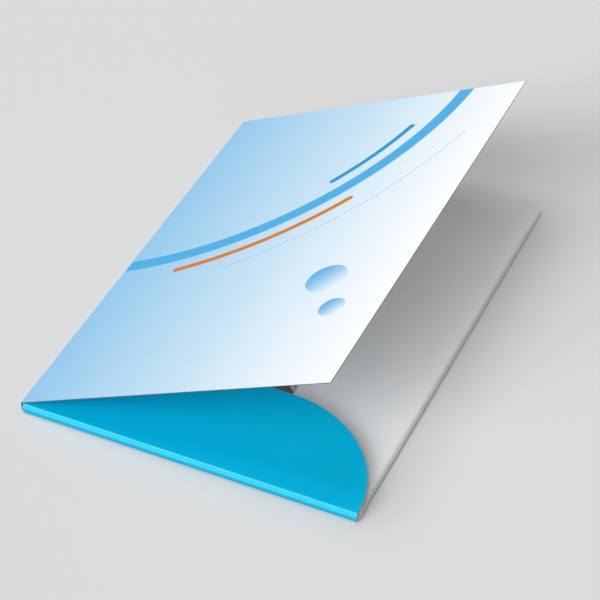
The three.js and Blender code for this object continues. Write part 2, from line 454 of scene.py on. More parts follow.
# %% Run a tree on a piece
def run_tree(piece, tree, values):
    """Runs a node tree on a piece and keeps the result as its plain mesh."""
    modifier = piece.modifiers.new(tree.name, "NODES")
    modifier.node_group = tree
    for item in tree.interface.items_tree:
        if item.in_out == "INPUT" and item.name in values:
            modifier[item.identifier] = values[item.name]
    graph = bpy.context.evaluated_depsgraph_get()
    made = bpy.data.meshes.new_from_object(piece.evaluated_get(graph))
    piece.modifiers.clear()
    piece.data = made
    made.name = piece.name


def fold(piece, names):
    """Folds a flat zone along the named creases. Its last finish is that of the cut edge."""
    for name in names:
        point, across, turn, inside = FOLDS[name]
        places = {"Crease Point": point, "Across": across}
        sizes = {"Turn": turn, "Inside Radius": inside, "Card": CARD}
        run_tree(piece, FOLD_TREE, places | sizes | {"Core": piece.data.materials[-1]})
    return piece


print("folds:", ", ".join(FOLDS))

# %% [markdown]
# ## Shared effects of paper
#
# Two effects turn up on almost every surface, so each is one shader group, placed in
# each finish with its own values. The first is the tooth of the paper: fibres as a
# height, and slow cloudiness as a tone around 1. A photograph of paper would do as well,
# but noise never repeats and has no seams. It is laid out on the sheet's own map, so
# nothing slides when a crease bends.


# %% Build the tooth of the paper
PORE_SHARE = 0.3  # of the fibres' scale, so that a pore is a few fibres wide


def noise(place, scale, detail=2.0, roughness=0.5):
    inputs = {"Vector": place, "Scale": scale, "Detail": detail, "Roughness": roughness}
    return add("ShaderNodeTexNoise", inputs).outputs["Fac"]


def build_tooth(place, fibre_scale, stretch, cloud_scale, cloud_depth):
    grain_way = add("ShaderNodeCombineXYZ", {0: 1.0, 1: over(1.0, stretch), 2: 1.0}).outputs[0]
    along = vector("MULTIPLY", place, grain_way)
    fibres = noise(along, fibre_scale, detail=3.0, roughness=0.6)
    pores = noise(place, times(fibre_scale, PORE_SHARE))
    height = maths("MULTIPLY_ADD", pores, 0.5, times(fibres, 0.5))
    clouds = noise(place, cloud_scale, detail=4.0, roughness=0.6)
    drift = times(minus(clouds, 0.5), cloud_depth)
    return {"Height": height, "Tone": maths("ADD", drift, 1.0)}


inputs = {"Place": (0.0, 0.0, 0.0), "Fibre Scale": 2500.0, "Stretch": 4.0}
TOOTH = node_group("Paper tooth", inputs | {"Cloud Scale": 60.0, "Cloud Depth": 0.02}, build_tooth)

# %% [markdown]
# The second effect is wear. Ink on card cracks along a bend and rubs off at the knife's
# edge, in small broken patches. The group reads two marks that the mesh carries: how
# strongly the card is bent, and which points lie on a free edge.


# %% Build the wear of the print
PATCHES, SPECKLES = (0.35, 0.75), (0.3, 0.7)  # where each noise turns from print to bare card
FINER, SPECKLE_SHARE = 9.0, 0.4


def build_rub(place, at_creases, at_edges, patch_scale):
    tree = place.id_data
    crease = add("ShaderNodeAttribute", tree=tree, attribute_name="crease").outputs["Fac"]
    rim = add("ShaderNodeAttribute", tree=tree, attribute_name="rim").outputs["Fac"]
    patches = remap(noise(place, patch_scale, detail=4.0, roughness=0.65), *PATCHES)
    speckle = remap(noise(place, times(patch_scale, FINER)), *SPECKLES)
    broken = maths("MULTIPLY_ADD", speckle, SPECKLE_SHARE, times(patches, 1 - SPECKLE_SHARE))
    bends = times(maths("POWER", crease, 2.0), at_creases)
    edges = times(maths("POWER", rim, 3.0), at_edges)
    return {"Mask": times(maths("MAXIMUM", bends, edges), broken)}


inputs = {"Place": (0.0, 0.0, 0.0), "At Creases": 0.5, "At Edges": 0.3, "Patch Scale": 400.0}
RUB = node_group("Rubbed print", inputs, build_rub)

# %% [markdown]
# ## Shapes for printing
#
# A printed motif is a mask: 1 inside its outline and 0 outside, with a soft step of a
# tenth of a millimetre, like ink on coated card. An image of the design would blur close
# by, so each group turns a distance into such a mask. All sizes are metres on the sheet.

# %% Build the curved band
INK_EDGE = 0.0001
PLACES = {"Place": (0.0, 0.0, 0.0), "Centre": (0.0, 0.0, 0.0)}


def ink(distance):
    """1 where the distance to an outline is negative."""
    return remap(distance, -INK_EDGE / 2, INK_EDGE / 2, 1.0, 0.0)


def polar(place, centre):
    """The distance and the angle from a motif's centre."""
    offset = vector("SUBTRACT", place, centre)
    parts = parts_of(offset)
    return vector("LENGTH", offset), maths("ARCTAN2", parts[1], parts[0])


def build_band(place, centre, radius, width, middle, spread):
    """A curved band with round ends. Its angles count from the sheet's x, in radians."""
    distance, angle = polar(place, centre)
    away = maths("ABSOLUTE", minus(angle, middle))
    past = maths("MAXIMUM", minus(away, times(spread, 0.5)), 0.0)
    level = times(distance, maths("COSINE", past))
    beyond = times(distance, maths("SINE", past))
    reach = hypotenuse(minus(level, radius), beyond)
    return {"Mask": ink(minus(reach, times(width, 0.5)))}


inputs = PLACES | {"Radius": 0.1, "Width": 0.01, "Middle": 0.0, "Spread": 1.0}
ARC_BAND = node_group("Arc band", inputs, build_band)

# %% [markdown]
# A disc also gives the share of the way across it, so that its ink can fade. The dotted
# line measures the run along its arc and repeats one dot at a steady pitch.


# %% Build the disc and the dotted arc
def build_disc(place, centre, radius, towards_end):
    offset = vector("SUBTRACT", place, centre)
    edge = minus(vector("LENGTH", offset), radius)
    run = vector("DOT_PRODUCT", offset, towards_end)
    share = maths("MULTIPLY_ADD", over(run, radius), 0.5, 0.5)
    return {"Mask": ink(edge), "Share": share}


def build_dotted_arc(place, centre, radius, dot, pitch, middle, spread):
    distance, angle = polar(place, centre)
    turn = minus(angle, middle)
    past_gap = maths("FLOORED_MODULO", times(turn, radius), pitch)
    reach = hypotenuse(minus(distance, radius), minus(past_gap, times(pitch, 0.5)))
    dots = ink(minus(reach, times(dot, 0.5)))
    inside = maths("LESS_THAN", maths("ABSOLUTE", turn), times(spread, 0.5))
    return {"Mask": times(dots, inside)}


DISC = node_group("Disc", PLACES | {"Radius": 0.01, "Towards": (1.0, 0.0, 0.0)}, build_disc)
inputs = PLACES | {"Radius": 0.1, "Dot": 0.0005, "Pitch": 0.0015, "Middle": 0.0, "Spread": 1.0}
DOTTED_ARC = node_group("Dotted arc", inputs, build_dotted_arc)

# %% [markdown]
# ## Card finishes
#
# Coated card is ink on a smooth white core. One function builds every finish of paper
# from a function that draws its colour. It adds the cloudiness, rubs the print down to
# the core, and lets the tooth show as a very low bump and as a change in the shine. What
# is the same all over, such as a film's gloss, is typed straight into the shader.


# %% Mix, tone and fade colours
def mix(share, first, second):
    inputs = {0: share, 6: first, 7: second}
    return add("ShaderNodeMix", inputs, data_type="RGBA").outputs[2]


def toned(colour, tone):
    grey = add("ShaderNodeCombineColor", {0: tone, 1: tone, 2: tone}).outputs[0]
    inputs = {0: 1.0, 6: colour, 7: grey}
    return add("ShaderNodeMix", inputs, data_type="RGBA", blend_type="MULTIPLY").outputs[2]


def ramp(share, stops):
    """A fade through a list of places and swatch codes."""
    node = add("ShaderNodeValToRGB", {0: share})
    elements = node.color_ramp.elements
    while len(elements) < len(stops):
        elements.new(position=0.5)
    for element, (place, code) in zip(elements, stops):
        element.position = place
        element.color = srgb(code)
    return node.outputs[0]


# %% Write the function for paper finishes
CORE_WHITE = srgb("#f4f3f0")
FILM_ROUGHNESS = 0.28
SHINE_CHANGE = 0.16


def sheet_map(tree):
    """A point's place on the flat sheet."""
    return add("ShaderNodeUVMap", tree=tree, uv_map="sheet").outputs[0]


def paper_finish(
    name, draw, film, tooth, rub=(0.0, 0.0), cloud=0.02, relief=0.000004, place_of=sheet_map
):
    """film: roughness, coat and specular. tooth: scale and stretch. rub: creases and edges."""
    paint = bpy.data.materials.new(name)
    paint.use_nodes = True
    tree = paint.node_tree
    place = place_of(tree)
    grain = {"Place": place, "Fibre Scale": tooth[0], "Stretch": tooth[1], "Cloud Depth": cloud}
    paper = use_group(TOOTH, grain)
    colour = toned(draw(place), paper["Tone"])
    if any(rub):
        wear = {"Place": place, "At Creases": rub[0], "At Edges": rub[1]}
        colour = mix(use_group(RUB, wear)["Mask"], colour, CORE_WHITE)
    fibre = minus(paper["Height"], 0.5)
    bump = add("ShaderNodeBump", {"Height": paper["Height"], "Distance": relief, "Strength": 1.0})
    surface = {
        "Base Color": colour,
        "Roughness": maths("MULTIPLY_ADD", fibre, SHINE_CHANGE, film[0]),
        "Coat Weight": film[1],
        "Coat Roughness": FILM_ROUGHNESS,
        "Specular IOR Level": film[2],
        "Normal": bump.outputs[0],
    }
    fill(tree.nodes["Principled BSDF"], surface)
    print("finish:", name, "with", len(tree.nodes), "nodes")
    return paint


# %% [markdown]
# ## The cover's print
#
# The ground fades from light blue at the spine to almost white at the free edges. On it
# lies a plain decoration of curved bands that share one centre near the far end of the
# spine: a wide blue one, a slim orange one and a short deep blue one, with a dotted line
# and two fading discs. The numbers are where a designer would place them.

# %% Choose the inks and places
GROUND = [(0.0, "#8fc3e6"), (0.5, "#c1dcee"), (1.0, "#f5f7f9")]
MID_BLUE, DEEP_BLUE, ORANGE = srgb("#4faade"), srgb("#2b93c8"), srgb("#d07c2c")
DOT_BLUE = srgb("#5b8fb8")
DISC_FADE = [(0.0, "#55a7dc"), (0.5, "#9ccaea"), (1.0, "#e4f0f8")]
BAND_CENTRE = (-0.012, FAR + 0.018, 0.0)
BANDS = [
    # radius and width, middle and spread in degrees, ink
    (0.190, 0.0105, -46, 96, MID_BLUE),
    (0.2065, 0.0045, -58, 33, ORANGE),
    (0.1735, 0.0045, -30, 22, DEEP_BLUE),
]
DOTTED_LINE = (0.2215, -42, 46)
DOT, DOT_PITCH = 0.0010, 0.0023
DISCS = [((0.168, -0.052, 0.0), 0.0135), ((0.186, -0.082, 0.0), 0.0085)]
FADE_WAY = (0.8, -0.6, 0.0)
print("bands:", len(BANDS), " discs:", len(DISCS))


# %% Draw the cover's print
def arc_values(place, radius, middle, spread):
    turns = {"Middle": math.radians(middle), "Spread": math.radians(spread)}
    return {"Place": place, "Centre": BAND_CENTRE, "Radius": radius} | turns


def draw_cover(place):
    across = parts_of(place)[0]
    ground = ramp(over(maths("ABSOLUTE", across), FRONT_WIDTH), GROUND)
    colour = ground
    for radius, width, middle, spread, band_ink in BANDS:
        values = arc_values(place, radius, middle, spread) | {"Width": width}
        colour = mix(use_group(ARC_BAND, values)["Mask"], colour, band_ink)
    dots = arc_values(place, *DOTTED_LINE) | {"Dot": DOT, "Pitch": DOT_PITCH}
    colour = mix(use_group(DOTTED_ARC, dots)["Mask"], colour, DOT_BLUE)
    for centre, size in DISCS:
        values = {"Place": place, "Centre": centre, "Radius": size, "Towards": FADE_WAY}
        disc = use_group(DISC, values)
        colour = mix(disc["Mask"], colour, ramp(disc["Share"], DISC_FADE))
    on_front = maths("GREATER_THAN", across, 0.0)
    return mix(on_front, ground, colour)


SATIN = (0.62, 0.0, 0.12)
FINE = (3800.0, 3.0)
cover_print = paper_finish("cover_print", draw_cover, SATIN, FINE, rub=(0.55, 0.35))

# %% [markdown]
# ## The other card finishes
#
# The pocket is printed in one cyan ink under a matt film. Its wall bulges, and its colour
# carries painted light: a paler cyan is a painted highlight along its fold and its score
# line, and a darker cyan is painted shade towards its foot. The inside of the covers is
# white board without ink, with a grey band of painted shade along the free edges and
# towards the far edge. These marks could be painted as an image, but a distance from the
# fold or the edge gives them at any size.
# The cut edge shows the core, in a grey that is partly its open fibres and partly painted
# shade. The cut edges of the covers and the pocket are darker, as painted shade, and on
# the pocket this shade is tinted cyan.

# %% Choose the inks and the wear
# The second cyan is a painted highlight on the pocket's wall, and the third is painted shade towards its
# foot.
CYAN, PAINTED_HIGHLIGHT_CYAN, PAINTED_SHADE_CYAN = srgb("#00b9e4"), srgb("#45cdf0"), srgb("#309ebe")
FOLD_TOP = POCKET_FOLD - PRESSED_LENGTH / 2
SCORE = POCKET_FOLD + WALL_HEIGHT / 4
WALL_FOOT = POCKET_FOLD + WALL_HEIGHT
# The painted highlight sits on the fold's crest and on the score line, and fades between and below them.
HIGHLIGHT_FALLOFF, HIGHLIGHT_NOISE_SCALE = 0.0008, 120.0
HIGHLIGHT_BETWEEN_RIDGES, HIGHLIGHT_BELOW_SCORE = 0.5, 0.1
# Painted shade: a grey band along the free edges of the covers' inside.
EDGE_SHADE_WIDTH, EDGE_SHADE_FROM, SHADE_NOISE_SCALE = 0.0034, 0.0004, 90.0
HIGHLIGHT_LEAST, SHADE_LEAST, UNEVEN = 0.6, 0.5, 0.5  # noise adds up to UNEVEN to the least
# Painted shade towards the board's far edge.
FAR_SHADE_WIDTH, FAR_SHADE = 0.030, 0.36
BACK_END, COVER_END = FRONT_START - back_high.x, FRONT_START - COVER_EDGE
# The band of painted shade fades in away from the near edge.
EDGE_SHADE_FADE_IN = (NEAR + 0.004, NEAR + 0.016)
# The second tone is the grey of the painted shade on the board.
BOARD, PAINTED_SHADE_GREY = srgb("#f4f4f4"), srgb("#b9b9b9")
print("score below the fold, in mm:", in_mm(SCORE - POCKET_FOLD))


# %% Draw the pocket's ink and the bare board
def draw_cyan(place):
    along = parts_of(place)[1]
    from_fold = maths("ABSOLUTE", minus(along, FOLD_TOP))
    from_score = maths("ABSOLUTE", minus(along, SCORE))
    nearest = maths("MINIMUM", from_fold, from_score)
    ridges = remap(nearest, 0.0, HIGHLIGHT_FALLOFF, 1.0, HIGHLIGHT_BETWEEN_RIDGES)
    lower = remap(along, SCORE, SCORE + HIGHLIGHT_FALLOFF, 1.0, HIGHLIGHT_BELOW_SCORE)
    on_wall = remap(along, FOLD_TOP - PRESSED_LENGTH / 2, FOLD_TOP)
    uneven = maths("MULTIPLY_ADD", noise(place, HIGHLIGHT_NOISE_SCALE, detail=4.0), UNEVEN, HIGHLIGHT_LEAST)
    # Painted highlight where the fold and the score line catch the light, made uneven by noise.
    painted_highlight = times(on_wall, maths("MINIMUM", ridges, lower))
    # Painted shade: the cyan darkens from the score line down to the wall's foot.
    ground = mix(remap(along, SCORE, WALL_FOOT), CYAN, PAINTED_SHADE_CYAN)
    return mix(times(painted_highlight, uneven), ground, PAINTED_HIGHLIGHT_CYAN)


def draw_bare(place):
    parts = parts_of(place)
    to_back = minus(parts[0], BACK_END)
    to_front = minus(COVER_END, parts[0])
    # Painted shade along both free edges, fading out at the near edge.
    grey = remap(maths("MINIMUM", to_back, to_front), EDGE_SHADE_FROM, EDGE_SHADE_WIDTH, 1.0, 0.0)
    edge_shade = times(grey, remap(parts[1], *EDGE_SHADE_FADE_IN))
    # Painted shade towards the far edge.
    margin = remap(parts[1], FAR - FAR_SHADE_WIDTH, FAR, 0.0, FAR_SHADE)
    uneven = maths("MULTIPLY_ADD", noise(place, SHADE_NOISE_SCALE, detail=4.0), UNEVEN, SHADE_LEAST)
    share = maths("MAXIMUM", times(edge_shade, uneven), margin)
    return mix(share, BOARD, PAINTED_SHADE_GREY)


def plain(code):
    """A ground of one colour. The tooth and the cloudiness still vary it."""
    return lambda place: srgb(code)


# %% Make the other card finishes
MATT_FILM, UNCOATED = (0.55, 0.0, 0.05), (0.78, 0.0, 0.25)
# The grey core is partly painted shade, and the two darker tones are painted shade on the cut edges of the
# covers and the pocket.
CUT_TONES = {"core": "#bcbcba", "painted_shade_core": "#4c6068", "painted_shade_cyan_core": "#2387a3"}
BOARD_FIBRE, OPEN_FIBRE = (2200.0, 5.0), (5200.0, 12.0)
cyan_print = paper_finish("cyan_print", draw_cyan, MATT_FILM, FINE, rub=(0.30, 0.25))
bare_card = paper_finish(
    "bare_card", draw_bare, UNCOATED, BOARD_FIBRE, cloud=0.035, relief=0.00001
)
core, painted_shade_core, painted_shade_cyan_core = [
    paper_finish(name, plain(code), UNCOATED, OPEN_FIBRE, cloud=0.10, relief=0.00003)
    for name, code in CUT_TONES.items()
]

# %% [markdown]
# ## The leaflet's print
#
# The leaflet is art paper with a thin glossy coat. Its lower part carries a dark block
# whose upper right corner is cut off at 45 degrees, then a slim stripe, and a pale grey
# field takes the rest. Only that corner shows above the pocket, so the print stays
# simple.

# %% Draw the leaflet's print
leaf_low, leaf_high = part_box("insert_leaflet")
LEAF_LEFT = FRONT_START - leaf_low.x  # on the sheet's map, which counts from the front crease
BLOCK_CUT = 0.1803  # across plus up, from the leaflet's near left corner
BLOCK_TOP = 0.118
STRIPE, STRIPE_GAP = 0.0022, 0.0029
LEAF_FADE = [(0.0, "#59404c"), (0.7, "#7a5666"), (1.0, "#84606f")]
LEAF_PALE, STRIPE_GREY = srgb("#c3c4cb"), srgb("#9aa0ab")


def draw_leaflet(place):
    parts = parts_of(place)
    across = minus(LEAF_LEFT, parts[0])
    up = minus(parts[1], leaf_low.y)
    past_cut = minus(maths("ADD", across, up), BLOCK_CUT)
    edge = maths("MAXIMUM", past_cut, minus(up, BLOCK_TOP))
    block = ramp(over(up, BLOCK_TOP), LEAF_FADE)
    colour = mix(ink(edge), LEAF_PALE, block)
    off_stripe = maths("ABSOLUTE", minus(edge, STRIPE_GAP + STRIPE / 2))
    stripe = ink(minus(off_stripe, STRIPE / 2))
    return mix(stripe, colour, STRIPE_GREY)


ART_PAPER, EVEN_FIBRE = (0.34, 0.2, 0.5), (5000.0, 1.0)
leaflet_print = paper_finish("leaflet_print", draw_leaflet, ART_PAPER, EVEN_FIBRE, rub=(0.0, 0.3))

# %% [markdown]
# ## Cutting a zone from the sheet
#
# A zone is drawn as an outline and given the card's thickness. It could be a box with
# a bevel modifier, but the rule differs along its border: a free edge is rounded very
# slightly, because the knife presses the card down before it parts, and a border that
# meets the next zone stays sharp. So the plate is built by hand, and a function tells
# which borders are joined. Cuts across the zone give the folds something to bend.

# %% Write the cutting helpers
EDGE_ROUND = 0.00007
RIM = 0.0008
GRID = 0.01
BEND_STEPS, NOTCH_STEPS, CURVE_STEPS = 10, 8, 72
WELD = 1e-7
LEVEL = 0.99  # a face whose normal rises more than this is a side of the card
SHARP = 1.0  # faces that meet at more than this, in radians, make a corner


def even_steps(start, end, count):
    return [start + (end - start) * i / count for i in range(count + 1)]


def arc(centre, radii, start, end, steps):
    """Points on an arc, its angles in degrees. Its two radii may differ."""
    (x, y), (across, along) = centre, radii
    angles = [math.radians(angle) for angle in even_steps(start, end, steps)]
    return [(x + across * math.cos(a), y + along * math.sin(a)) for a in angles]


def grid_lines(low, high):
    """Even cuts about a centimetre apart, without the two ends."""
    return even_steps(low, high, max(1, round((high - low) / GRID)))[1:-1]


def bend_lines(start, inside, turn, steps=BEND_STEPS):
    """Close cuts over the length that a bend uses."""
    return even_steps(start, start - bend_length(inside, turn), steps)


# %% Make a plate
def slice_at(form, places, normal):
    for place in places:
        parts = form.verts[:] + form.edges[:] + form.faces[:]
        point = [place * value for value in normal]
        bmesh.ops.bisect_plane(form, geom=parts, dist=WELD, plane_co=point, plane_no=normal)


def plate(outline, thickness):
    """A closed plate over an outline, with a narrow rim of faces inside its border."""
    form = bmesh.new()
    base = form.faces.new([form.verts.new((x, y, 0)) for x, y in outline])
    raised = bmesh.ops.extrude_face_region(form, geom=[base])["geom"]
    top = [part for part in raised if isinstance(part, bmesh.types.BMVert)]
    bmesh.ops.translate(form, vec=(0, 0, thickness), verts=top)
    bmesh.ops.recalc_face_normals(form, faces=form.faces[:])
    for face in [face for face in form.faces if abs(face.normal.z) > LEVEL]:
        bmesh.ops.inset_region(form, faces=[face], thickness=RIM, use_even_offset=True)
    form.normal_update()
    return form


def round_free_edges(form, joined):
    def is_free(edge):
        middle = (edge.verts[0].co + edge.verts[1].co) / 2
        return not joined(middle.x, middle.y)

    between = [edge for edge in form.edges if len(edge.link_faces) == 2]
    corners = [edge for edge in between if edge.calc_face_angle() > SHARP and is_free(edge)]
    level = [edge for edge in corners if abs(edge.verts[0].co.z - edge.verts[1].co.z) < WELD]
    bmesh.ops.bevel(form, geom=level, offset=EDGE_ROUND, segments=2, profile=0.5, affect="EDGES")


print("rounding of an edge, in mm:", in_mm(EDGE_ROUND))

# %% [markdown]
# Each face learns which side of the card it is: printed, bare or cut edge. The mesh also
# carries the marks that the fold tree and the finishes read. The flat place is stored as
# an attribute, and once more as a UV map, because a print reads a map best.

# %% Mark the sides of a zone
PRINTED, BARE, CUT = 0, 1, 2


def side_of(face):
    if abs(face.normal.z) < LEVEL:
        return CUT
    return BARE if face.normal.z > 0 else PRINTED


def mark_sides(form, joined):
    """Sorts the faces by side, and marks the points on free edges."""
    sheet_uv = form.loops.layers.uv.new("sheet")
    rim = form.verts.layers.float.new("rim")
    form.normal_update()
    for face in form.faces:
        face.material_index = side_of(face)
        face.smooth = True
        for loop in face.loops:
            x, y, _ = loop.vert.co
            loop[sheet_uv].uv = (FRONT_START - x, y)
            if face.material_index == CUT and not joined(x, y):
                loop.vert[rim] = 1.0
    for edge in form.edges:
        edge.smooth = len({face.material_index for face in edge.link_faces}) == 1


# %% Cut, dress and hang a zone
def no_border(x, y):
    return False


def cut_zone(name, outline, x_lines, y_lines, joined=no_border, thickness=CARD):
    """A closed flat zone of card. joined(x, y) tells which borders aren't free edges."""
    form = plate(outline, thickness)
    round_free_edges(form, joined)
    slice_at(form, x_lines, (1.0, 0.0, 0.0))
    slice_at(form, y_lines, (0.0, 1.0, 0.0))
    mark_sides(form, joined)
    mesh = bpy.data.meshes.new(name)
    form.to_mesh(mesh)
    form.free()
    mesh.attributes.new("crease", "FLOAT", "POINT")
    flat_place = mesh.attributes.new("flat_place", "FLOAT_VECTOR", "POINT")
    places = [value for vertex in mesh.vertices for value in vertex.co]
    flat_place.data.foreach_set("vector", places)
    cut_edge = mesh.attributes.new("cut_edge", "BOOLEAN", "FACE")
    cut_edge.data.foreach_set("value", [face.material_index == CUT for face in mesh.polygons])
    return show(bpy.data.objects.new(name, mesh))


def dress(piece, *finishes):
    """Gives a zone its finishes, in the order printed, bare, cut edge."""
    for finish in finishes:
        piece.data.materials.append(finish)
    return piece


def hang(piece, body, slot, *nodes):
    """Makes a piece ride on a body, in place of the solids that it stands for."""
    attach(piece, body)
    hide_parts(*nodes)
    print(piece.name, "rides on", body + ", in mm:", in_mm(*piece.dimensions))


print("sides:", PRINTED, BARE, CUT)

# %% [markdown]
# ## Back cover
#
# The back cover lies on the table with its printed side down. Its near left corner is
# rounded, where the die relieves the crossing of two creases. The film on its outside
# has shrunk a little, so the free edge curls down and a low ridge runs beside it. The
# curl is a formula on the points, and a few cuts close to the edge give it its curve.

# %% Shape the curl of the free edge
RIDGE = 0.0017
RIDGE_FOOT, RIDGE_TOP = 0.025, 0.0030  # distances from the free edge
RIDGE_END = 0.008  # the near fold holds the card down, so the ridge ends before it
RIDGE_ROUND = 1.2  # how round the curl is, where 1 is a straight slope
FAR_LOSS = 0.4  # the share of the curl that is gone at the far edge
EDGE_GAP = 0.0005  # from the free edge down to the table
CURL_X = [0.0004, 0.0008, 0.0012, 0.0016, 0.0021, 0.0028, 0.004, 0.006, 0.009, 0.014, 0.019]
CURL_Y = [0.0015, 0.003, 0.0045, 0.006, 0.008]


def smooth(value, low, high):
    share = min(1.0, max(0.0, (value - low) / (high - low)))
    return share * share * (3 - 2 * share)


def curl_of(x, y):
    """How far the back cover stands off the table at a point."""
    inward = back_high.x - x
    if inward > RIDGE_TOP:
        height = RIDGE * smooth(-inward, -RIDGE_FOOT, -RIDGE_TOP)
    else:
        height = EDGE_GAP + (RIDGE - EDGE_GAP) * (1 - (1 - inward / RIDGE_TOP) ** RIDGE_ROUND)
    held = smooth(y, back_low.y, NEAR + RIDGE_END)
    return height * held * (1 - FAR_LOSS * smooth(y, NEAR, FAR))


print("ridge, in mm:", in_mm(curl_of(back_high.x - RIDGE_TOP, NEAR + RIDGE_END)))

# %% Make the back cover
corner = (back_low.x + NOTCH, back_low.y + NOTCH)
outline = [(back_low.x, FAR)] + arc(corner, (NOTCH, NOTCH), 180, 270, NOTCH_STEPS)
outline += [(back_high.x, back_low.y), (back_high.x, FAR)]
x_lines = grid_lines(back_low.x, back_high.x) + [back_high.x - inset for inset in CURL_X]
y_lines = grid_lines(NEAR, FAR) + [NEAR + inset for inset in CURL_Y]


def meets_back(x, y):
    return y < back_low.y + WELD or (x < back_low.x + WELD and y > corner[1])


back_cover = cut_zone("back_cover_card", outline, x_lines, y_lines, meets_back)
dress(back_cover, cover_print, bare_card, core)
for vertex in back_cover.data.vertices:
    vertex.co.z += curl_of(vertex.co.x, vertex.co.y)
hang(back_cover, "base", "white_card", "back_cover")

# %% [markdown]
# ## Pocket
#
# The pocket is one strip: a narrow wall, then the face with its quarter-round corner.
# It could be modelled standing up, but cut flat and folded it gets true bends and a
# print that runs round them. The strip lies beyond the near edge of the back cover with
# its printed side down, so two folds turn its print up.

# %% Draw the pocket's outline
wall_corner = (wall_low.x + NOTCH, BASE_FOLD - PRESSED_LENGTH - (NOTCH - FOLD_OUTER))
FACE_ZERO = FACE_START + FOLD_OUTER  # where the folder's near edge falls on the face's flat zone
curve_centre = (wall_high.x - POCKET_RADIUS, FACE_ZERO)
curve_end = -math.degrees(math.asin(FOLD_OUTER / POCKET_RADIUS))
outline = [(wall_corner[0], BASE_FOLD)]
outline += arc(wall_corner, (NOTCH, BASE_FOLD - wall_corner[1]), 90, 180, NOTCH_STEPS)[1:]
outline += [(wall_low.x, FACE_START), (SIDE_FOLD, FACE_START), (SIDE_FOLD, POCKET_TOP)]
outline += arc(curve_centre, (POCKET_RADIUS, POCKET_RADIUS), -90, curve_end, CURVE_STEPS)
outline += [(wall_high.x, BASE_FOLD)]
print("pocket outline:", len(outline), "points")

# %% [markdown]
# The wall of a gusset isn't flat. It carries a score line a quarter of the way down,
# which lets it fold in when the pocket is empty, and here it leans out a little, most of
# all at that line, and curves back in below it. The bulge is added after folding, from
# each point's flat place.

# %% Cut, fold and bulge the pocket
SCORE_WIDTH = 0.0003
WALL_STEPS = 6
LAST_CUT = 0.0005  # a cut just before the fold keeps the shading of the face flat
BULGE = 0.0009
side_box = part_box("side_crease")
FLAP_NEAR = FACE_ZERO - (side_box[0].y - NEAR)
FLAP_FAR = FACE_ZERO - (side_box[1].y - NEAR)
x_lines = grid_lines(SIDE_FOLD, wall_high.x)
y_lines = grid_lines(POCKET_TOP, FACE_START) + [FACE_START - LAST_CUT]
y_lines += bend_lines(POCKET_FOLD, PRESSED_INSIDE, RIGHT_ANGLE)
y_lines += bend_lines(BASE_FOLD, PRESSED_INSIDE, RIGHT_ANGLE)[1:]
y_lines += [SCORE - SCORE_WIDTH, SCORE, SCORE + SCORE_WIDTH]
y_lines += even_steps(SCORE, WALL_FOOT, WALL_STEPS)[1:-1]


def bulge_of(y):
    """How far the wall leans out at a place on the flat strip."""
    if y < SCORE:
        share = (y - POCKET_FOLD) / (SCORE - POCKET_FOLD)
    else:
        share = 1 - ((y - SCORE) / (WALL_FOOT - SCORE)) ** 2
    return BULGE * max(0.0, share)


def meets_pocket(x, y):
    on_flap = x < SIDE_FOLD + WELD and FLAP_FAR < y < FLAP_NEAR
    return on_flap or y > BASE_FOLD - WELD


pocket = cut_zone("pocket_card", outline, x_lines, y_lines, meets_pocket)
flat_rows = [vertex.co.y for vertex in pocket.data.vertices]
fold(dress(pocket, cyan_print, bare_card, painted_shade_cyan_core), ["pocket", "base"])
for vertex, flat_y in zip(pocket.data.vertices, flat_rows):
    vertex.co.y -= bulge_of(flat_y)
hang(pocket, "base", "cyan_card", "base_crease", "bottom_gusset", "pocket_crease", "pocket_panel")

# %% [markdown]
# ## Side flap
#
# The pocket's curved side is cut away, so nothing could be glued there. Its other side
# carries a flap that folds down to the back cover and in under the pocket. Its ends
# slope, so that it slips under as the pocket is closed. It goes through the same four
# folds as on the real sheet: its own two, and then the pocket's two.

# %% Cut and fold the side flap
TAB_FLAT = TAB_FOLD - PRESSED_LENGTH
tab_points = [vertex.co for vertex in frame["nodes"]["glue_tab"].data.vertices]
tab_end = [point.y for point in tab_points if abs(point.x - tab_high.x) < WELD]
taper = (FLAP_NEAR - FLAP_FAR - (max(tab_end) - min(tab_end))) / 2


def meets_flap(x, y):
    return x > SIDE_FOLD - WELD


outline = [(SIDE_FOLD, FLAP_FAR), (SIDE_FOLD, FLAP_NEAR), (TAB_FLAT, FLAP_NEAR)]
outline += [(TAB_EDGE, FLAP_NEAR - taper), (TAB_EDGE, FLAP_FAR + taper), (TAB_FLAT, FLAP_FAR)]
x_lines = bend_lines(SIDE_FOLD, PRESSED_INSIDE, RIGHT_ANGLE)[1:]
x_lines += bend_lines(TAB_FOLD, PRESSED_INSIDE, RIGHT_ANGLE)
y_lines = grid_lines(FLAP_FAR, FLAP_NEAR)
side_flap = cut_zone("side_flap_card", outline, x_lines, y_lines, meets_flap)
fold(dress(side_flap, cyan_print, bare_card, painted_shade_cyan_core), ["tab", "side", "pocket", "base"])
hang(side_flap, "base", "cyan_card", "side_crease", "side_gusset", "tab_crease", "glue_tab")
print("side flap's slope at each end, in mm:", in_mm(taper))

# %% [markdown]
# ## Spine and front cover
#
# The spine is a narrow panel between two hinge creases, and the front cover follows it.
# Both could be placed by their angles, but sent through the same folds as the rest they
# come out where the sheet would carry them. The camera sees their printed side.

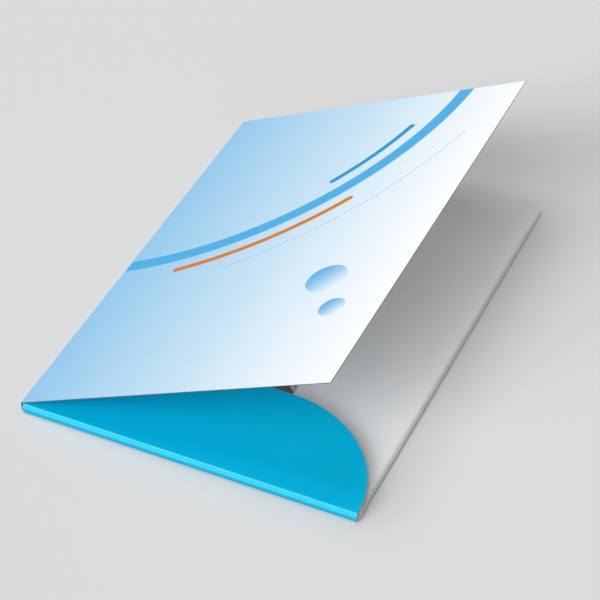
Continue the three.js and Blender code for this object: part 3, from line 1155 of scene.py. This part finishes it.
# %% Cut and fold the spine
JOINT_ROOM = back_low.x - REAR_AXIS.x  # from a hinge crease's axis to the panel beside it
SPINE_BACK = REAR_END - (JOINT_ROOM - REAR_REACH)
SPINE_FRONT = FRONT_START + (JOINT_ROOM - FRONT_REACH)
COVER_START = FRONT_END - (JOINT_ROOM - FRONT_REACH)
spine_corner = (SPINE_BACK - NOTCH, NEAR + NOTCH)
outline = [(SPINE_BACK, FAR), (SPINE_FRONT, FAR), (SPINE_FRONT, NEAR), (spine_corner[0], NEAR)]
outline += arc(spine_corner, (NOTCH, NOTCH), -90, 0, NOTCH_STEPS)[1:]


def meets_spine(x, y):
    return x < SPINE_FRONT + WELD or (x > SPINE_BACK - WELD and y > spine_corner[1])


spine = cut_zone("spine_card", outline, [], grid_lines(NEAR, FAR), meets_spine)
fold(dress(spine, cover_print, bare_card, painted_shade_core), ["front", "rear"])
hang(spine, "spine", "printed_card", "spine_panel")


# %% Cut and fold the front cover
def meets_cover(x, y):
    return x > COVER_START - WELD


outline = [(COVER_START, NEAR), (COVER_START, FAR), (COVER_EDGE, FAR), (COVER_EDGE, NEAR)]
x_lines, y_lines = grid_lines(COVER_EDGE, COVER_START), grid_lines(NEAR, FAR)
front_cover = cut_zone("front_cover_card", outline, x_lines, y_lines, meets_cover)
fold(dress(front_cover, cover_print, bare_card, painted_shade_core), ["front", "rear"])
hang(front_cover, "front", "printed_card", "front_cover")

# %% [markdown]
# ## Hinge creases
#
# The two creases that move are short strips of their own. A rigid strip would tear away
# from one panel or the other when the cover turns. Here each is only folded at its
# resting angle.

# %% Make the strips that bend
HINGE_STEPS = 12


def hinge_strip(node, start, end, near, folds, bodies, axis, way):
    """A strip from start to end on the sheet, folded at its resting angle. The axis and the way are not
    used.
    """

    def meets_panels(x, y):
        return x > start - WELD or x < end + WELD

    point, _, turn, inside = FOLDS[folds[0]]
    outline = [(start, near), (start, FAR), (end, FAR), (end, near)]
    x_lines = bend_lines(point[0], inside, turn, HINGE_STEPS)
    strip = cut_zone(node + "_card", outline, x_lines, grid_lines(near, FAR), meets_panels)
    fold(dress(strip, cover_print, bare_card, painted_shade_core), folds)
    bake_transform(strip)
    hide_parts(node)
    print(strip.name, "blends from", " to ".join(bodies) + ", in mm:", in_mm(*strip.dimensions))


REAR_WAY = math.radians(135)
FRONT_WAY = (RIGHT_ANGLE + OPEN_ANGLE) / 2
rear_bend = (["rear"], ("base", "spine"), REAR_AXIS, REAR_WAY)
front_bend = (["front", "rear"], ("spine", "front"), FRONT_AXIS, FRONT_WAY)
hinge_strip("rear_crease", back_low.x, SPINE_BACK, NEAR + NOTCH, *rear_bend)
hinge_strip("front_crease", SPINE_FRONT, COVER_START, NEAR, *front_bend)

# %% [markdown]
# ## Leaflet
#
# The leaflet is a single sheet that lies in the pocket, on the back cover. It is thin
# enough to be one plane, but a plane would have no edge to catch the light, so it is cut
# like the card, with its own thickness. It is bare below and printed above, and it rides
# on its own body, so it slides out of the pocket.

# %% Make the leaflet
outline = [(leaf_low.x, leaf_low.y), (leaf_high.x, leaf_low.y)]
outline += [(leaf_high.x, leaf_high.y), (leaf_low.x, leaf_high.y)]
x_lines, y_lines = grid_lines(leaf_low.x, leaf_high.x), grid_lines(leaf_low.y, leaf_high.y)
leaflet = cut_zone("leaflet", outline, x_lines, y_lines, thickness=leaf_high.z - leaf_low.z)
for vertex in leaflet.data.vertices:
    vertex.co.z += leaf_low.z
dress(leaflet, bare_card, leaflet_print, core)
hang(leaflet, "leaflet", "leaflet_paper", "insert_leaflet")

# %% [markdown]
# ## Glue
#
# A folding machine sets the glue as rows of dots, and pressing spreads each one into a
# round, flat spot. Spots could be placed one by one, but a node tree that fills the box
# it is given follows the flap if its size changes. It lays a grid of points with a
# little scatter and puts a flattened ball on each. The finish reads Object coordinates,
# because glue was never part of the sheet.


# %% Count rows and draw random values
def rows_in(length, margin, pitch):
    """The room for points along one side of the box, and how many fit into it."""
    room = minus(length, margin)
    steps = maths("FLOOR", over(room, pitch))
    return room, maths("ADD", steps, 1.0)


def random_between(tree, low, high, seed, kind):
    """A random value. A vector's range and result have other sockets than a number's."""
    limits = {"Min": low, "Max": high} if kind == "FLOAT_VECTOR" else {2: low, 3: high}
    node = add("FunctionNodeRandomValue", limits | {"Seed": seed}, tree, data_type=kind)
    return node.outputs[0 if kind == "FLOAT_VECTOR" else 1]


# %% Scatter a grid of points
NARROWEST, WIDEST = 0.8, 1.2  # a spot's width as a share of the usual one
PLACE_SEED, WIDTH_SEED = 5, 9


def scattered_grid(tree, spot, pitch, scatter, across, along):
    margin = maths("MULTIPLY_ADD", spot, WIDEST, times(scatter, 2.0))
    size_x, count_x = rows_in(across, margin, pitch)
    size_y, count_y = rows_in(along, margin, pitch)
    sizes = {"Size X": size_x, "Size Y": size_y, "Vertices X": count_x, "Vertices Y": count_y}
    grid = add("GeometryNodeMeshGrid", sizes).outputs[0]
    reach = add("ShaderNodeCombineXYZ", {0: scatter, 1: scatter}).outputs[0]
    drift = random_between(tree, scaled(reach, -1.0), reach, PLACE_SEED, "FLOAT_VECTOR")
    return step("SetPosition", grid, {"Offset": drift})


# %% Build the tree that sets the spots
def build_glue(geometry, spot, pitch, scatter, finish):
    tree = geometry.id_data
    box = add("GeometryNodeBoundBox", {0: geometry}).outputs
    across, along, height = parts_of(vector("SUBTRACT", box["Max"], box["Min"]))
    places = scattered_grid(tree, spot, pitch, scatter, across, along)
    width = times(random_between(tree, NARROWEST, WIDEST, WIDTH_SEED, "FLOAT"), spot)
    drop = add("GeometryNodeMeshIcoSphere", {"Radius": 0.5, "Subdivisions": 2}, tree).outputs[0]
    flat_drop = add("ShaderNodeCombineXYZ", {0: width, 1: width, 2: height}).outputs[0]
    spots = step("InstanceOnPoints", places, {"Instance": drop, "Scale": flat_drop})
    middle = scaled(vector("ADD", box["Max"], box["Min"]), 0.5)
    real = step("RealizeInstances", step("Transform", spots, {"Translation": middle}))
    return {"Geometry": step("SetMaterial", step("SetShadeSmooth", real), {"Material": finish})}


inputs = {"Geometry": None, "Spot": 0.002, "Pitch": 0.003, "Scatter": 0.0002, "Glue": ""}
GLUE_TREE = node_group("Pressed spots of glue", inputs, build_glue)


# %% Set the spots of glue
def own_place(tree):
    return add("ShaderNodeTexCoord", tree=tree).outputs["Object"]


DRIED_GLUE, RIPPLES = (0.25, 0.3, 0.5), (900.0, 1.0)
glue = paper_finish("glue", plain("#e6dfc4"), DRIED_GLUE, RIPPLES, cloud=0.2, place_of=own_place)
strip = frame["nodes"]["adhesive_strip"].data
glue_spots = show(bpy.data.objects.new("glue_spots", strip.copy()))
run_tree(glue_spots, GLUE_TREE, {"Glue": glue})
hang(glue_spots, "base", "adhesive", "adhesive_strip")

# %% [markdown]
# ## Finish
#
# Blender must not change the folder's size, so both boxes are printed next to each
# other: the imported model's from the start, and the dressed one's.

# %% Print the sizes
boxes = {"cad": [list(corner) for corner in CAD_BOX], "visual": [list(corner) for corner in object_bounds()]}
for name, corners in boxes.items():
    print(name, "box, in mm:", [in_mm(*corner) for corner in corners])
